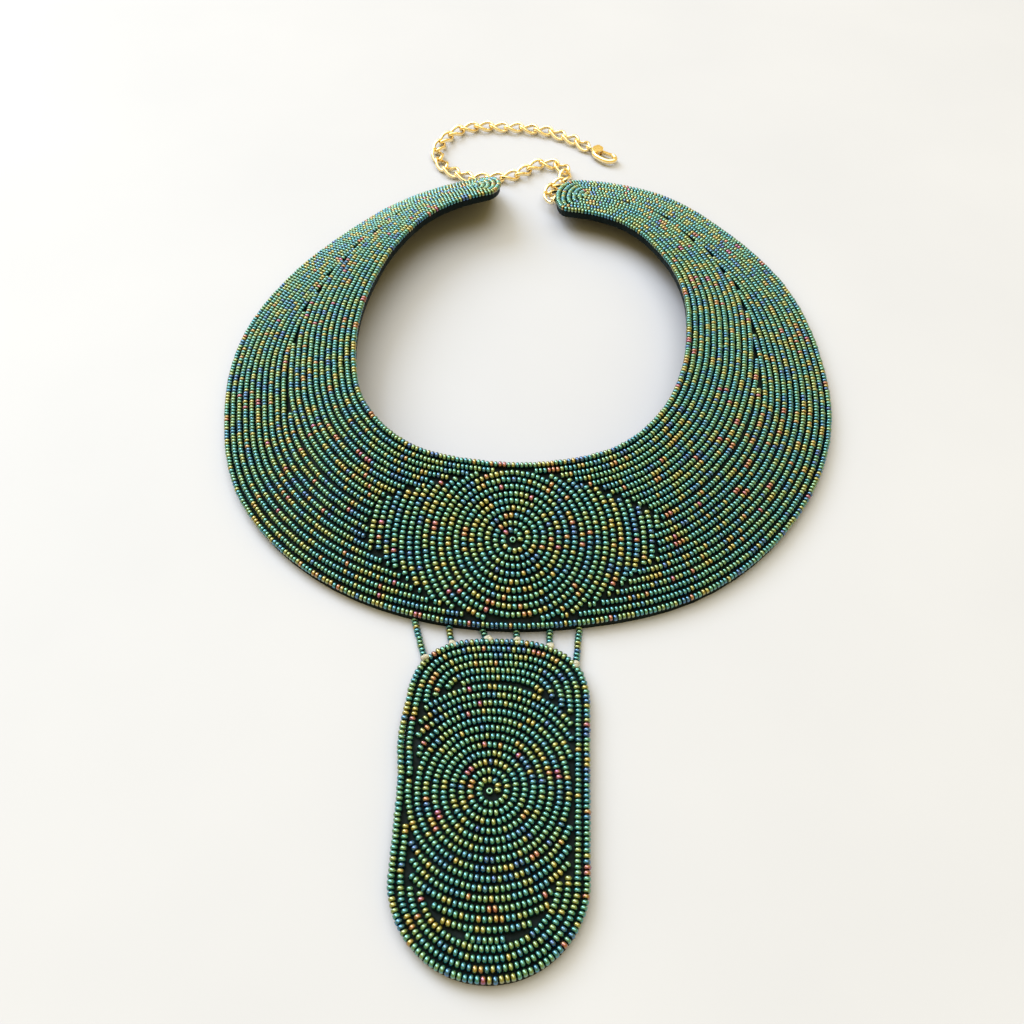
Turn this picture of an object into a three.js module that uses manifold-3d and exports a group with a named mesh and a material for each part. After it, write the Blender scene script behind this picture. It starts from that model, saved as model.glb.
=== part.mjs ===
// Bib necklace lying on a table: a stiff beaded leather collar, open at the back,
// a beaded tab hung on its front by six short strings of beads,
// and a curb chain that closes the back with a lobster clasp.
// Millimetres, +Z up, the tab points to -Y, the table is z = 0.

import * as THREE from 'three';
import { mergeVertices } from 'three/addons/utils/BufferGeometryUtils.js';
import Module from 'manifold-3d';

const wasm = await Module();
wasm.setup();

// Collar sizes
const collarReach = 126;
const neckReach = 72;
const neckLift = 17;
const collarBow = 0.3;
const leatherThickness = 2.8;
const tipRound = 8;
const collarSteps = 84;
const tipSteps = 6;
const acrossSteps = 5;

// Bead layer sizes
const beadDiameter = 2.2;
const seatGap = 0.3;
const leatherMargin = 0.6;
const beadShoulder = 1.1;

// Tab sizes
const tabLength = 108.2;
const tabWidth = 58.4;
const tabGap = 5.6;
const tabShift = -2.2;
const tabCrown = 25;
const tabFoot = 28.6;
const crownSquareness = 2.7;
const footSquareness = 2;
const tabSteps = 60;

// Bead string sizes
const stringDiameter = 2.2;
const stringSides = 8;
const stringSteps = 6;
const stringSag = 0.4;
const edgePasses = 8;
const edgeTurn = 1;
const edgeShare = 0.01;

// Chain sizes
const linkCount = 27;
const linkPitch = 7.5;
const linkWire = 1.2;
const linkWidth = 6.6;
const linkClearance = 0.6;
const linkTwist = 52;
const linkSteps = 14;
const routeSteps = 60;
const wireSides = 6;
const loopWire = 1;
const loopRadius = 1.5;
const loopBite = 0.7;
const passingTurn = -167;
const loopSteps = 12;
const loopSides = 8;
const slopeStep = 0.05;

// Clasp sizes
const claspLength = 19;
const claspWidth = 8.6;
const claspThickness = 3;
const claspWire = 2.4;
const eyeRadius = 2;
const eyeWire = 1.3;
const leverThickness = 1.1;
const leverWidth = 1.6;
const leverSwing = 24;
const pinRadius = 0.5;
const pivotGap = 0.3;
const hubRadius = 1.7;
const pivotAhead = 1.5;
const thumbReach = 2.6;
const cheekMargin = 1;
const neckThickness = 2.1;
const pinLength = 2.7;
const hubSides = 16;
const pinSides = 10;
const hookSteps = 18;
const hookSegments = 5;

// Sections round the collar. turn: degrees from the front, + to the right.
// outer: share of collarReach. inner: share of neckReach. lift: share of neckLift.
const collarSections = [
  { turn: -172, outer: 0.930, inner: 1.180, lift: 0.94 },
  { turn: -150, outer: 0.893, inner: 1.105, lift: 0.97 },
  { turn: -130, outer: 0.862, inner: 0.990, lift: 1.00 },
  { turn: -110, outer: 0.880, inner: 0.918, lift: 1.00 },
  { turn: -90, outer: 0.926, inner: 0.910, lift: 1.00 },
  { turn: -70, outer: 0.973, inner: 0.955, lift: 1.00 },
  { turn: -50, outer: 1.041, inner: 1.043, lift: 1.00 },
  { turn: -30, outer: 1.066, inner: 1.083, lift: 0.98 },
  { turn: -10, outer: 1.064, inner: 1.050, lift: 0.96 },
  { turn: 10, outer: 1.059, inner: 1.036, lift: 0.93 },
  { turn: 30, outer: 1.073, inner: 1.035, lift: 0.90 },
  { turn: 50, outer: 1.052, inner: 0.982, lift: 0.85 },
  { turn: 70, outer: 1.016, inner: 0.932, lift: 0.80 },
  { turn: 90, outer: 0.971, inner: 0.925, lift: 0.74 },
  { turn: 110, outer: 0.957, inner: 0.985, lift: 0.68 },
  { turn: 130, outer: 0.948, inner: 1.070, lift: 0.62 },
  { turn: 150, outer: 0.962, inner: 1.160, lift: 0.56 },
  { turn: 172.5, outer: 0.916, inner: 1.150, lift: 0.50 },
];

// Bead strings. top: place along the collar's edge, bottom: place along the tab's edge,
// both as shares of half the tab's width from its middle line.
const beadStrings = [
  { top: -1.05, bottom: -0.86 },
  { top: -0.63, bottom: -0.57 },
  { top: -0.24, bottom: -0.16 },
  { top: 0.16, bottom: 0.18 },
  { top: 0.55, bottom: 0.56 },
  { top: 0.90, bottom: 0.86 },
];

// Route of the chain from the right tip to the clasp and a little past it,
// measured from the neck's centre.
// aside, ahead: shares of collarReach. back, height: shares of linkWidth,
// back being added behind the collar's edge and height lying above the table.
const chainRoute = [
  { aside: 0.088, ahead: 0.770, back: 0.00, height: 0.94 },
  { aside: 0.069, ahead: 0.822, back: 0.00, height: 0.65 },
  { aside: 0.087, ahead: 0.875, back: 0.00, height: 0.47 },
  { aside: 0.124, ahead: 0.905, back: 0.22, height: 0.36 },
  { aside: 0.132, ahead: 0.905, back: 1.34, height: 0.35 },
  { aside: 0.142, ahead: 0.905, back: 1.94, height: 0.35 },
  { aside: 0.082, ahead: 0.905, back: 2.52, height: 0.35 },
  { aside: 0.030, ahead: 0.905, back: 2.45, height: 0.35 },
  { aside: -0.008, ahead: 0.905, back: 1.87, height: 0.35 },
  { aside: -0.040, ahead: 0.921, back: 0.84, height: 0.35 },
  { aside: -0.100, ahead: 0.921, back: 0.45, height: 0.35 },
  { aside: -0.159, ahead: 0.921, back: 0.22, height: 0.35 },
  { aside: -0.230, ahead: 0.921, back: 0.24, height: 0.35 },
  { aside: -0.302, ahead: 0.921, back: 0.81, height: 0.35 },
  { aside: -0.352, ahead: 0.921, back: 1.89, height: 0.35 },
  { aside: -0.373, ahead: 0.921, back: 3.10, height: 0.35 },
  { aside: -0.360, ahead: 0.921, back: 4.54, height: 0.35 },
  { aside: -0.313, ahead: 0.921, back: 5.87, height: 0.35 },
  { aside: -0.242, ahead: 0.921, back: 6.69, height: 0.35 },
  { aside: -0.151, ahead: 0.921, back: 6.72, height: 0.35 },
  { aside: -0.056, ahead: 0.921, back: 6.66, height: 0.35 },
  { aside: 0.032, ahead: 0.905, back: 6.75, height: 0.35 },
  { aside: 0.111, ahead: 0.905, back: 6.15, height: 0.35 },
  { aside: 0.183, ahead: 0.905, back: 5.21, height: 0.35 },
  { aside: 0.246, ahead: 0.905, back: 4.18, height: 0.35 },
  { aside: 0.333, ahead: 0.905, back: 2.75, height: 0.35 },
];

// Middle line of the clasp's hook. along: share of the way from its neck to its nose.
// aside: share of half its width, + on the lever's side.
const hookRoute = [
  { along: 0.00, aside: 0.00 },
  { along: 0.19, aside: -0.80 },
  { along: 0.58, aside: -1.00 },
  { along: 0.87, aside: -0.75 },
  { along: 1.00, aside: 0.00 },
  { along: 0.92, aside: 0.75 },
];

const degrees = Math.PI / 180;

// Finishes
const leather = { color: 0x16242c, roughness: 0.62, metalness: 0 };
const irisBeads = { color: 0x3f6a62, roughness: 0.28, metalness: 0.75 };
const gold = { color: 0xd9ad55, roughness: 0.22, metalness: 1 };

const necklace = new THREE.Group();

function addPiece(name, geometry, finish) {
  const piece = new THREE.Mesh(geometry, new THREE.MeshStandardMaterial(finish));
  piece.name = name;
  necklace.add(piece);
  return piece;
}

// A solid for joining and cutting, from any closed geometry.
function solidOf(geometry) {
  const bare = geometry.clone();
  bare.deleteAttribute('normal');
  bare.deleteAttribute('uv');
  const merged = mergeVertices(bare, 1e-4);
  return new wasm.Manifold(new wasm.Mesh({
    numProp: 3,
    vertProperties: new Float32Array(merged.attributes.position.array),
    triVerts: new Uint32Array(merged.index.array),
  }));
}

function geometryOf(solid) {
  const mesh = solid.getMesh();
  const geometry = new THREE.BufferGeometry();
  geometry.setAttribute('position', new THREE.BufferAttribute(new Float32Array(mesh.vertProperties), 3));
  geometry.setIndex(new THREE.BufferAttribute(new Uint32Array(mesh.triVerts), 1));
  return geometry;
}

// Skin over rings of equal count. Closed rings join end to start, open ones get flat caps.
// Each ring turns counter-clockwise as seen from the end that the rings run to.
function skinOf(rings, closed) {
  const count = rings[0].length;
  const positions = rings.flat().flatMap((point) => [point.x, point.y, point.z]);
  const faces = [];
  const spans = closed ? rings.length : rings.length - 1;
  for (let ring = 0; ring < spans; ring += 1) {
    const near = ring * count;
    const far = ((ring + 1) % rings.length) * count;
    for (let side = 0; side < count; side += 1) {
      const next = (side + 1) % count;
      faces.push(near + side, near + next, far + next);
      faces.push(near + side, far + next, far + side);
    }
  }
  if (!closed) {
    const last = (rings.length - 1) * count;
    for (let side = 1; side < count - 1; side += 1) {
      faces.push(0, side + 1, side);
      faces.push(last, last + side, last + side + 1);
    }
  }
  const geometry = new THREE.BufferGeometry();
  geometry.setAttribute('position', new THREE.Float32BufferAttribute(positions, 3));
  geometry.setIndex(faces);
  return geometry;
}

// Smooth value of one column of the section table at a turn.
function sectionValue(column, turn) {
  let row = 0;
  while (row < collarSections.length - 2 && turn > collarSections[row + 1].turn) row += 1;
  const rowAt = (index) => collarSections[Math.min(Math.max(index, 0), collarSections.length - 1)];
  const [before, start, end, after] = [row - 1, row, row + 1, row + 2].map(rowAt);
  const span = end.turn - start.turn;
  const share = (turn - start.turn) / span;
  const slopeStart = (end[column] - before[column]) / (end.turn - before.turn) * span;
  const slopeEnd = (after[column] - start[column]) / (after.turn - start.turn) * span;
  const square = share * share;
  const cube = square * share;
  return start[column] * (2 * cube - 3 * square + 1) + slopeStart * (cube - 2 * square + share)
    + end[column] * (3 * square - 2 * cube) + slopeEnd * (cube - square);
}

function collarSection(turn) {
  return {
    outer: sectionValue('outer', turn) * collarReach,
    inner: sectionValue('inner', turn) * neckReach,
    lift: sectionValue('lift', turn) * neckLift,
  };
}

// The tab's top lies a gap in front of the collar's edge.
const tabTop = -collarSection(0).outer - tabGap;

// A point over the collar at a turn, a radius and a height above the leather's underside.
function collarPoint(turn, radius, height) {
  const section = collarSection(turn);
  const rise = (section.outer - radius) / (section.outer - section.inner);
  const underside = section.lift * (rise + collarBow * rise * (1 - rise));
  return new THREE.Vector3(
    radius * Math.sin(turn * degrees),
    -radius * Math.cos(turn * degrees),
    underside + height,
  );
}

// Turns of the collar's sections with the share of its width that the round tips leave.
function collarStations() {
  const first = collarSections[0].turn;
  const last = collarSections[collarSections.length - 1].turn;
  const middleRadius = (collarReach + neckReach) / 2;
  const roundTurn = tipRound / middleRadius / degrees;
  const stations = [];
  for (let step = 1; step <= tipSteps; step += 1) {
    const angle = 90 * degrees * (step - 0.5) / tipSteps;
    stations.push({ turn: first + roundTurn * (1 - Math.cos(angle)), width: Math.sin(angle) });
  }
  const clear = (last - first) - 2 * roundTurn;
  for (let step = 0; step <= collarSteps; step += 1) {
    stations.push({ turn: first + roundTurn + clear * step / collarSteps, width: 1 });
  }
  for (let step = tipSteps; step >= 1; step -= 1) {
    const angle = 90 * degrees * (step - 0.5) / tipSteps;
    stations.push({ turn: last - roundTurn * (1 - Math.cos(angle)), width: Math.sin(angle) });
  }
  return stations;
}

// Band over the collar between two heights, set in from the leather's edge by a margin.
function collarBand(low, high, margin, shoulder) {
  const marginTurn = margin / ((collarReach + neckReach) / 2) / degrees;
  const stations = collarStations();
  const first = stations[0].turn;
  const last = stations[stations.length - 1].turn;
  const squeeze = (last - first - 2 * marginTurn) / (last - first);
  const rings = stations.map(({ turn, width }) => {
    const inTurn = first + marginTurn + (turn - first) * squeeze;
    const section = collarSection(inTurn);
    const middle = (section.outer + section.inner) / 2;
    const half = ((section.outer - section.inner) / 2 - margin) * width;
    const chamfer = Math.min(shoulder, half / 2);
    const ring = [collarPoint(inTurn, middle + half, low)];
    if (shoulder > 0) ring.push(collarPoint(inTurn, middle + half, high - chamfer));
    for (let step = 0; step <= acrossSteps; step += 1) {
      const across = 1 - 2 * step / acrossSteps;
      ring.push(collarPoint(inTurn, middle + (half - chamfer) * across, high));
    }
    if (shoulder > 0) ring.push(collarPoint(inTurn, middle - half, high - chamfer));
    for (let step = acrossSteps; step >= 1; step -= 1) {
      const across = 1 - 2 * step / acrossSteps;
      ring.push(collarPoint(inTurn, middle + half * across, low));
    }
    return ring.reverse();
  });
  return skinOf(rings, false);
}

// Places of the chain's joints, a pitch apart along the smooth route.
function chainJoints() {
  const places = chainRoute.map(({ aside, ahead, back, height }) => new THREE.Vector3(
    aside * collarReach,
    ahead * collarReach + back * linkWidth,
    height * linkWidth,
  ));
  const route = new THREE.CatmullRomCurve3(places);
  const fine = route.getPoints(chainRoute.length * routeSteps);
  const joints = [fine[0]];
  for (const point of fine) {
    if (point.distanceTo(joints[joints.length - 1]) >= linkPitch) joints.push(point);
  }
  return joints.slice(0, linkCount + 1);
}

// Frame with its X along a direction and its Y level.
function frameAlong(origin, direction) {
  const ahead = direction.clone().normalize();
  const aside = new THREE.Vector3(-ahead.y, ahead.x, 0).normalize();
  const above = new THREE.Vector3().crossVectors(ahead, aside);
  return new THREE.Matrix4().makeBasis(ahead, aside, above).setPosition(origin);
}

// Curb link: an oval wire whose plane turns from one end to the other,
// so that its two ends cross the next links at right angles.
function curbLink() {
  const halfLength = (linkPitch + linkWire + linkClearance) / 2;
  const halfWidth = (linkWidth - linkWire) / 2;
  const centreAt = (angle) => {
    const along = Math.cos(angle);
    const aside = Math.sin(angle);
    const roll = linkTwist * degrees * along;
    return new THREE.Vector3(
      halfLength * along,
      halfWidth * aside * Math.cos(roll),
      halfWidth * aside * Math.sin(roll),
    );
  };
  const rings = [];
  for (let step = 0; step < linkSteps; step += 1) {
    const angle = 2 * Math.PI * (step + 0.5) / linkSteps;
    const centre = centreAt(angle);
    const ahead = centreAt(angle + slopeStep).sub(centreAt(angle - slopeStep)).normalize();
    const out = centre.clone().addScaledVector(ahead, -centre.dot(ahead)).normalize();
    const side = new THREE.Vector3().crossVectors(ahead, out);
    rings.push(wireRing(centre, out, side, linkWire / 2, wireSides));
  }
  return skinOf(rings, true);
}

function wireRing(centre, out, side, radius, sides) {
  const ring = [];
  for (let step = 0; step < sides; step += 1) {
    const angle = 2 * Math.PI * step / sides;
    ring.push(centre.clone()
      .addScaledVector(out, radius * Math.cos(angle))
      .addScaledVector(side, radius * Math.sin(angle)));
  }
  return ring;
}

// Ring of wire whose middle is at a point and whose plane holds two directions.
function wireLoop(centre, first, second, radius, wire, steps) {
  const rings = [];
  const normal = new THREE.Vector3().crossVectors(first, second).normalize();
  const across = new THREE.Vector3().crossVectors(normal, first).normalize();
  for (let step = 0; step < steps; step += 1) {
    const angle = 2 * Math.PI * step / steps;
    const out = first.clone().normalize().multiplyScalar(Math.cos(angle))
      .addScaledVector(across, Math.sin(angle));
    const middle = centre.clone().addScaledVector(out, radius);
    const ahead = new THREE.Vector3().crossVectors(normal, out);
    const side = new THREE.Vector3().crossVectors(ahead, out);
    rings.push(wireRing(middle, out, side, wire / 2, loopSides));
  }
  return skinOf(rings, true);
}

// Outline of the tab, from its right side over the crown and round the foot.
function tabOutline(margin) {
  const points = [];
  for (let step = 0; step < tabSteps; step += 1) {
    const angle = 2 * Math.PI * (step + 0.5) / tabSteps;
    const upper = Math.sin(angle) > 0;
    const power = 2 / (upper ? crownSquareness : footSquareness);
    const aside = Math.sign(Math.cos(angle)) * Math.abs(Math.cos(angle)) ** power;
    const ahead = Math.sign(Math.sin(angle)) * Math.abs(Math.sin(angle)) ** power;
    const centreLine = upper ? tabTop - tabCrown : tabTop - tabLength + tabFoot;
    const reach = (upper ? tabCrown : tabFoot) - margin;
    points.push(new THREE.Vector2(tabShift + (tabWidth / 2 - margin) * aside, centreLine + reach * ahead));
  }
  return points;
}

// Plate of the tab's outline between two heights, with a sloping shoulder at its top.
function tabPlate(low, high, margin, shoulder) {
  const levels = [{ height: low, inset: 0 }, { height: high - shoulder, inset: 0 }];
  if (shoulder > 0) levels.push({ height: high, inset: shoulder });
  const rings = levels.map(({ height, inset }) => tabOutline(margin + inset)
    .map((point) => new THREE.Vector3(point.x, point.y, height)));
  return skinOf(rings, false);
}

// Point on the collar's front edge at a distance from the middle line, with its outward way.
function collarEdge(aside) {
  let turn = 0;
  for (let pass = 0; pass < edgePasses; pass += 1) {
    turn = Math.asin(aside / collarSection(turn).outer) / degrees;
  }
  const here = collarPoint(turn, collarSection(turn).outer, leatherThickness / 2);
  const ahead = turn + edgeTurn;
  const along = collarPoint(ahead, collarSection(ahead).outer, leatherThickness / 2).sub(here);
  return { here, out: new THREE.Vector3(along.y, -along.x, 0).normalize() };
}

// Point on the tab's crown at a share of its half width, with its outward way.
function crownEdge(share) {
  const height = (value) => (1 - Math.abs(value) ** crownSquareness) ** (1 / crownSquareness);
  const pointAt = (value) => new THREE.Vector3(
    tabShift + value * tabWidth / 2,
    tabTop - tabCrown * (1 - height(value)),
    leatherThickness / 2,
  );
  const along = pointAt(share + edgeShare).sub(pointAt(share - edgeShare));
  return { here: pointAt(share), out: new THREE.Vector3(-along.y, along.x, 0).normalize() };
}

// String of beads from the collar's edge down to the tab's crown, clear of both leathers.
function beadString({ top, bottom }) {
  const start = collarEdge(tabShift + top * tabWidth / 2);
  const end = crownEdge(bottom);
  const way = end.here.clone().sub(start.here).normalize();
  const radius = stringDiameter / 2;
  const clearOf = (out, sign) => {
    const facing = out.dot(way) * sign;
    return (seatGap + radius * Math.sqrt(1 - facing * facing)) / facing;
  };
  const from = start.here.clone().addScaledVector(way, clearOf(start.out, 1));
  const to = end.here.clone().addScaledVector(way, -clearOf(end.out, -1));
  const rings = [];
  for (let step = 0; step <= stringSteps; step += 1) {
    const share = step / stringSteps;
    const centre = from.clone().lerp(to, share);
    centre.z -= stringSag * 4 * share * (1 - share) * (leatherThickness / 2 - radius);
    const side = new THREE.Vector3(-way.y, way.x, 0);
    rings.push(wireRing(centre, side, new THREE.Vector3(0, 0, 1), radius, stringSides));
  }
  return skinOf(rings, false);
}

// Round wire swept along a smooth curve through points.
function sweptWire(points, wire, steps) {
  const section = new THREE.Shape().absarc(0, 0, wire / 2, 0, 2 * Math.PI, false);
  const path = new THREE.CatmullRomCurve3(points.map((point) => new THREE.Vector3(...point)));
  return new THREE.ExtrudeGeometry(section, {
    steps, curveSegments: hookSegments, bevelEnabled: false, extrudePath: path,
  });
}

// Upright drum: a cylinder with its axis along Z.
function drum(x, y, radius, thickness, sides) {
  const geometry = new THREE.CylinderGeometry(radius, radius, thickness, sides);
  geometry.rotateX(Math.PI / 2);
  geometry.translate(x, y, 0);
  return geometry;
}

// Flat bar between two places, with its thickness along Z.
function bar(from, to, width, thickness) {
  const length = Math.hypot(to[0] - from[0], to[1] - from[1]);
  const geometry = new THREE.BoxGeometry(length, width, thickness);
  geometry.rotateZ(Math.atan2(to[1] - from[1], to[0] - from[0]));
  geometry.translate((from[0] + to[0]) / 2, (from[1] + to[1]) / 2, 0);
  return geometry;
}

// Clasp in its own frame: X from the eye's far wire to the hook's nose, Z up.
const hookHalf = (claspWidth - claspWire) / 2;
const noseX = claspLength - eyeWire / 2 - claspWire / 2;
const neckX = 2 * eyeRadius + eyeWire / 2;
const pivot = [neckX + pivotAhead, hookHalf - hubRadius];
const gateEnd = [noseX - hookHalf, hookHalf - leverWidth / 4];
const thumbEnd = [pivot[0] - thumbReach, hookHalf + leverWidth];

function claspBody() {
  const eye = wireLoop(
    new THREE.Vector3(eyeRadius, 0, 0),
    new THREE.Vector3(1, 0, 0),
    new THREE.Vector3(0, Math.cos(linkTwist * degrees), -Math.sin(linkTwist * degrees)),
    eyeRadius,
    eyeWire,
    loopSteps,
  );
  const hookLine = hookRoute.map(({ along, aside }) => [
    neckX + (noseX - neckX) * along,
    hookHalf * aside,
    0,
  ]);
  hookLine.push([gateEnd[0] + seatGap, gateEnd[1], 0]);
  const hook = sweptWire(hookLine, claspWire, hookSteps);
  const cheeks = drum(pivot[0], pivot[1] - pivotGap, hubRadius + cheekMargin, claspThickness, hubSides);
  const neck = bar([neckX - eyeWire / 2, 0], [pivot[0], 0], claspWire, neckThickness);
  const pin = drum(pivot[0], pivot[1], pinRadius, pinLength, pinSides);
  const hollow = solidOf(cheeks).add(solidOf(neck)).add(solidOf(hook)).subtract(leverRoom());
  return geometryOf(hollow.add(solidOf(eye)).add(solidOf(pin)));
}

// Place turned about the lever's pivot, towards the inside of the hook.
function swung(place, turn) {
  const [x, y] = [place[0] - pivot[0], place[1] - pivot[1]];
  const [cosine, sine] = [Math.cos(turn * degrees), Math.sin(turn * degrees)];
  return [pivot[0] + x * cosine + y * sine, pivot[1] - x * sine + y * cosine];
}

// Space that the lever fills as it swings, with its running gap.
function leverRoom() {
  const thickness = leverThickness + 2 * pivotGap;
  const width = leverWidth + 2 * pivotGap;
  let room = solidOf(drum(pivot[0], pivot[1], hubRadius + pivotGap, thickness, hubSides));
  for (const turn of [0, leverSwing / 2, leverSwing]) {
    room = room.add(solidOf(bar(pivot, swung(gateEnd, turn), width, thickness)));
    room = room.add(solidOf(bar(pivot, swung(thumbEnd, turn), width, thickness)));
  }
  return room;
}

function claspLever() {
  const hub = drum(pivot[0], pivot[1], hubRadius, leverThickness, hubSides);
  const gate = bar(pivot, [gateEnd[0] - seatGap, gateEnd[1]], leverWidth, leverThickness);
  const thumb = bar(pivot, thumbEnd, leverWidth, leverThickness);
  const bore = drum(pivot[0], pivot[1], pinRadius + pivotGap, claspThickness, pinSides);
  return geometryOf(solidOf(hub).add(solidOf(gate)).add(solidOf(thumb)).subtract(solidOf(bore)));
}

// Chain: links from joint to joint, then the clasp on the last joint.
const joints = chainJoints();
const crossing = (linkWire + linkClearance) / 2;
const linkFrames = joints.slice(1).map((joint, index) => {
  const middle = joints[index].clone().add(joint).multiplyScalar(0.5);
  return frameAlong(middle, joint.clone().sub(joints[index]));
});
const lastWay = joints[linkCount].clone().sub(joints[linkCount - 1]).normalize();
const claspFrame = frameAlong(joints[linkCount].clone().addScaledVector(lastWay, -crossing), lastWay);

// Sewn loop at the right tip, round the first link's end wire.
function startLoop() {
  const way = joints[1].clone().sub(joints[0]).normalize();
  const upright = new THREE.Vector3(0, Math.cos(linkTwist * degrees), Math.sin(linkTwist * degrees));
  upright.transformDirection(linkFrames[0]);
  const centre = joints[0].clone().addScaledVector(way, -crossing);
  return wireLoop(centre, way, upright, loopRadius, loopWire, loopSteps);
}

// Sewn loop at the left tip, round the side wire of the link that lies behind it,
// and wide enough to be stitched into the leather's edge.
function passingLoop() {
  const edge = collarPoint(passingTurn, collarSection(passingTurn).outer, leatherThickness / 2);
  const wireOf = (frame) => new THREE.Vector3(0, (linkWidth - linkWire) / 2, 0).applyMatrix4(frame);
  const frame = linkFrames.slice(0, linkCount / 2)
    .reduce((best, other) => (wireOf(other).distanceTo(edge) < wireOf(best).distanceTo(edge) ? other : best));
  const side = new THREE.Vector3(0, 1, 0).transformDirection(frame);
  const centre = wireOf(frame);
  const turn = Math.atan2(centre.x, -centre.y) / degrees;
  const toEdge = Math.hypot(centre.x, centre.y) - collarSection(turn).outer;
  const radius = Math.max(loopRadius, toEdge + loopBite - loopWire / 2);
  return wireLoop(centre, side, new THREE.Vector3(0, 0, 1), radius, loopWire, loopSteps);
}

const collarLeather = solidOf(collarBand(0, leatherThickness, 0, 0))
  .add(solidOf(startLoop()))
  .add(solidOf(passingLoop()));
addPiece('collar_backing', geometryOf(collarLeather), leather);

const beadFloor = leatherThickness + seatGap;
const beadTop = leatherThickness + beadDiameter;
addPiece('collar_beadwork', collarBand(beadFloor, beadTop, leatherMargin, beadShoulder), irisBeads);
addPiece('pendant_backing', tabPlate(0, leatherThickness, 0, 0), leather);
addPiece('pendant_beadwork', tabPlate(beadFloor, beadTop, leatherMargin, beadShoulder), irisBeads);

beadStrings.forEach((string, index) => {
  addPiece(`bead_strand_${index + 1}`, beadString(string), irisBeads);
});

linkFrames.forEach((frame, index) => {
  const link = addPiece(`chain_link_${String(index + 1).padStart(2, '0')}`, curbLink(), gold);
  link.applyMatrix4(frame);
});

addPiece('clasp_body', claspBody(), gold).applyMatrix4(claspFrame);
addPiece('clasp_lever', claspLever(), gold).applyMatrix4(claspFrame);

// The origin is on the table, in the middle of the necklace's box.
necklace.updateMatrixWorld(true);
const reach = new THREE.Box3().setFromObject(necklace, true);
const middle = reach.getCenter(new THREE.Vector3());
necklace.position.set(-middle.x, -middle.y, -reach.min.z);

export default necklace;
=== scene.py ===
import math

import bpy
import numpy as np
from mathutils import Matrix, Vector


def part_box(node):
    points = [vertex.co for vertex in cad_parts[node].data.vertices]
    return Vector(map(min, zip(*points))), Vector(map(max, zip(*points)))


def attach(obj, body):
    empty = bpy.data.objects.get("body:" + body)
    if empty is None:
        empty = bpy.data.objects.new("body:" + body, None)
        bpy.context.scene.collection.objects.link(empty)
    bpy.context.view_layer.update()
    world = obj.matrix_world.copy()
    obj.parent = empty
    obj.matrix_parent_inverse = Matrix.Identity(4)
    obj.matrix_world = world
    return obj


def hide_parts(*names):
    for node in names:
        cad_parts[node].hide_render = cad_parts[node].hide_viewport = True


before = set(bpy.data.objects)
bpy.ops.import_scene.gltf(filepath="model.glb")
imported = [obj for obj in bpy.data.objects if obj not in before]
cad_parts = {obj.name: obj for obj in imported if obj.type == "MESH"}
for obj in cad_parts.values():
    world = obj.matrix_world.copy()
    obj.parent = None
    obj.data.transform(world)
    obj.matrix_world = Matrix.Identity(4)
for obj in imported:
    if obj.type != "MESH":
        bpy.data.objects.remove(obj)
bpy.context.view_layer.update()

# Sizes of the necklace in millimetres, as its leather is cut
COLLAR_REACH = 126.0
NECK_REACH = 72.0
NECK_LIFT = 17.0
COLLAR_BOW = 0.3
LEATHER = 2.8
TAB_LENGTH = 108.2
TAB_WIDTH = 58.4
TAB_GAP = 5.6
TAB_SHIFT = -2.2
TAB_CROWN = 25.0
TAB_FOOT = 28.6
CROWN_SQUARENESS = 2.7
FOOT_SQUARENESS = 2.0

# Turn from the front in degrees, then the outer edge, the neck edge and the lift as shares
SECTIONS = np.array([
    (-172, 0.930, 1.180, 0.94), (-150, 0.893, 1.105, 0.97), (-130, 0.862, 0.990, 1.00),
    (-110, 0.880, 0.918, 1.00), (-90, 0.926, 0.910, 1.00), (-70, 0.973, 0.955, 1.00),
    (-50, 1.041, 1.043, 1.00), (-30, 1.066, 1.083, 0.98), (-10, 1.064, 1.050, 0.96),
    (10, 1.059, 1.036, 0.93), (30, 1.073, 1.035, 0.90), (50, 1.052, 0.982, 0.85),
    (70, 1.016, 0.932, 0.80), (90, 0.971, 0.925, 0.74), (110, 0.957, 0.985, 0.68),
    (130, 0.948, 1.070, 0.62), (150, 0.962, 1.160, 0.56), (172.5, 0.916, 1.150, 0.50),
])
FIRST_TURN, LAST_TURN = SECTIONS[0, 0], SECTIONS[-1, 0]
MIDDLE_RADIUS = (COLLAR_REACH + NECK_REACH) / 2

# Seed beads: radius, step along the row, and the share of the step that a bead fills
BEAD_RADIUS = 1.2
BEAD_PITCH = 1.56
BEAD_SHARE = 0.93
TAB_BEAD_RADIUS = 1.27
TAB_BEAD_PITCH = 1.68
SPIRAL_BEAD_RADIUS = 1.27
SPIRAL_BEAD_PITCH = 1.88
STRING_BEAD_RADIUS = 1.28
STRING_BEAD_PITCH = 1.5

# Height of the beads' middles, and the share of a pair's own room that leaves a bead uncrowded
BEAD_SEAT = LEATHER + 1.0
CROWDING = 0.86

# How unevenly the beads are sewn: size and length as shares, the places in millimetres
SIZE_CHANCE, LENGTH_CHANCE = 0.025, 0.04
SIDE_CHANCE, HEIGHT_CHANCE = 0.06, 0.035
TILT_CHANCE = 0.05

# Share of the beads below each tone, and the share that takes the tone of the bead before
TONE_SHARES = (0, 0.04, 0.16, 0.40, 0.66, 0.94, 0.975, 1)
TONES = (0.02, 0.14, 0.28, 0.42, 0.56, 0.80, 0.9, 0.99)
RUN_SHARE = 0.25

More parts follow.
